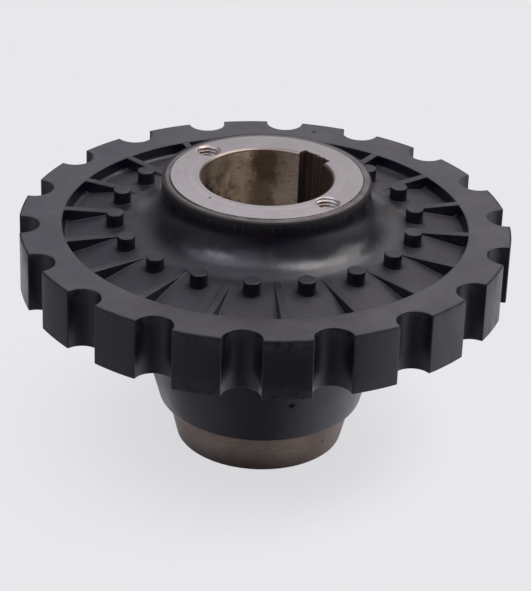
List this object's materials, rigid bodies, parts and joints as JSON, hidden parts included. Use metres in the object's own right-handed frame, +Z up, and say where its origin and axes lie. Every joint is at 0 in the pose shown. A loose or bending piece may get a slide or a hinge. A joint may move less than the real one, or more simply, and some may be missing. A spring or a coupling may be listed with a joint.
{
  "type": "shaft coupling element",
  "caption": "Shaft coupling element: a keyed steel hub with a rubber disc bonded round it, whose notched rim engages a toothed drive ring.",
  "frame": {"origin": "on the bore axis, at the bottom face of the hub's foot", "axes": "+Z up along the bore axis, towards the machined face; the keyway faces +Y and the two tapped holes lie on the X axis"},
  "size_m": [0.24, 0.2396, 0.1415],
  "materials": {
    "steel": "turned face, oxidised bore, dull foot",
    "rubber": "moulded, satin"
  },
  "bodies": {
    "root": {"hub": "steel", "rubber_element": "rubber"}
  },
  "joints": []
}
